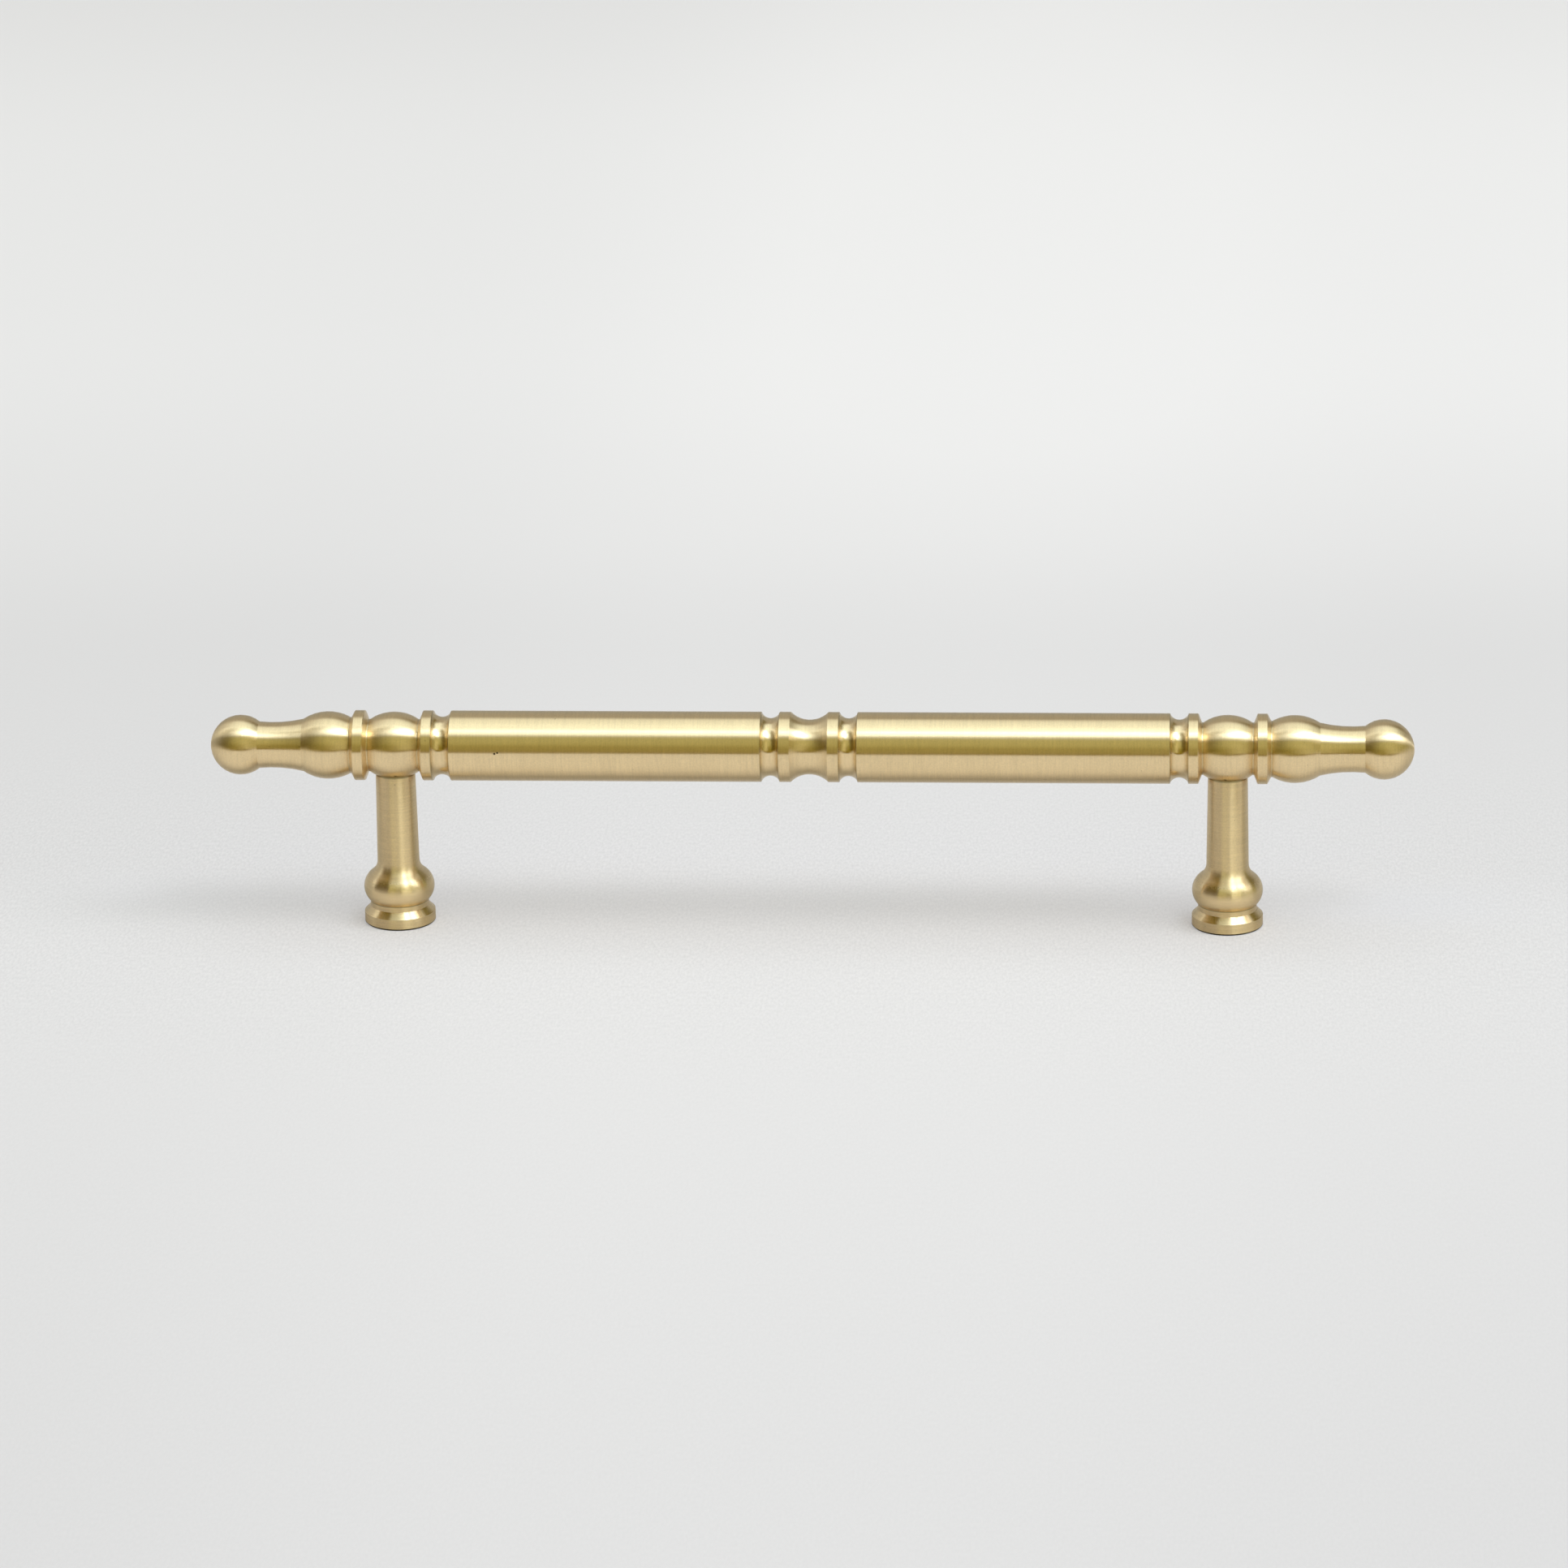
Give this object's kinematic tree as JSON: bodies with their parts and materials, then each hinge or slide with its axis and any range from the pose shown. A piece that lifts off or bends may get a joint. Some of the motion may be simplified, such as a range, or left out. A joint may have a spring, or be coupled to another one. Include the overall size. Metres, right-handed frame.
{
  "type": "cabinet pull",
  "caption": "Turned brass bar pull for a drawer or cabinet door: a round bar with coves, beads and ball-ended finials, held off the front on turned posts.",
  "frame": {"origin": "on the mounting face, midway between the tapped holes of the posts", "axes": "+X along the bar, +Y across the bar, +Z from the mounting face towards the bar"},
  "size_m": [0.1848, 0.011, 0.0339],
  "materials": {
    "satin_brass": "satin, with fine turning lines and a clear lacquer",
    "stud_steel": "plain zinc-plated thread"
  },
  "bodies": {
    "root": {"bar": "satin_brass", "post_left": "satin_brass", "post_right": "satin_brass", "joining_studs": "stud_steel"}
  },
  "joints": []
}
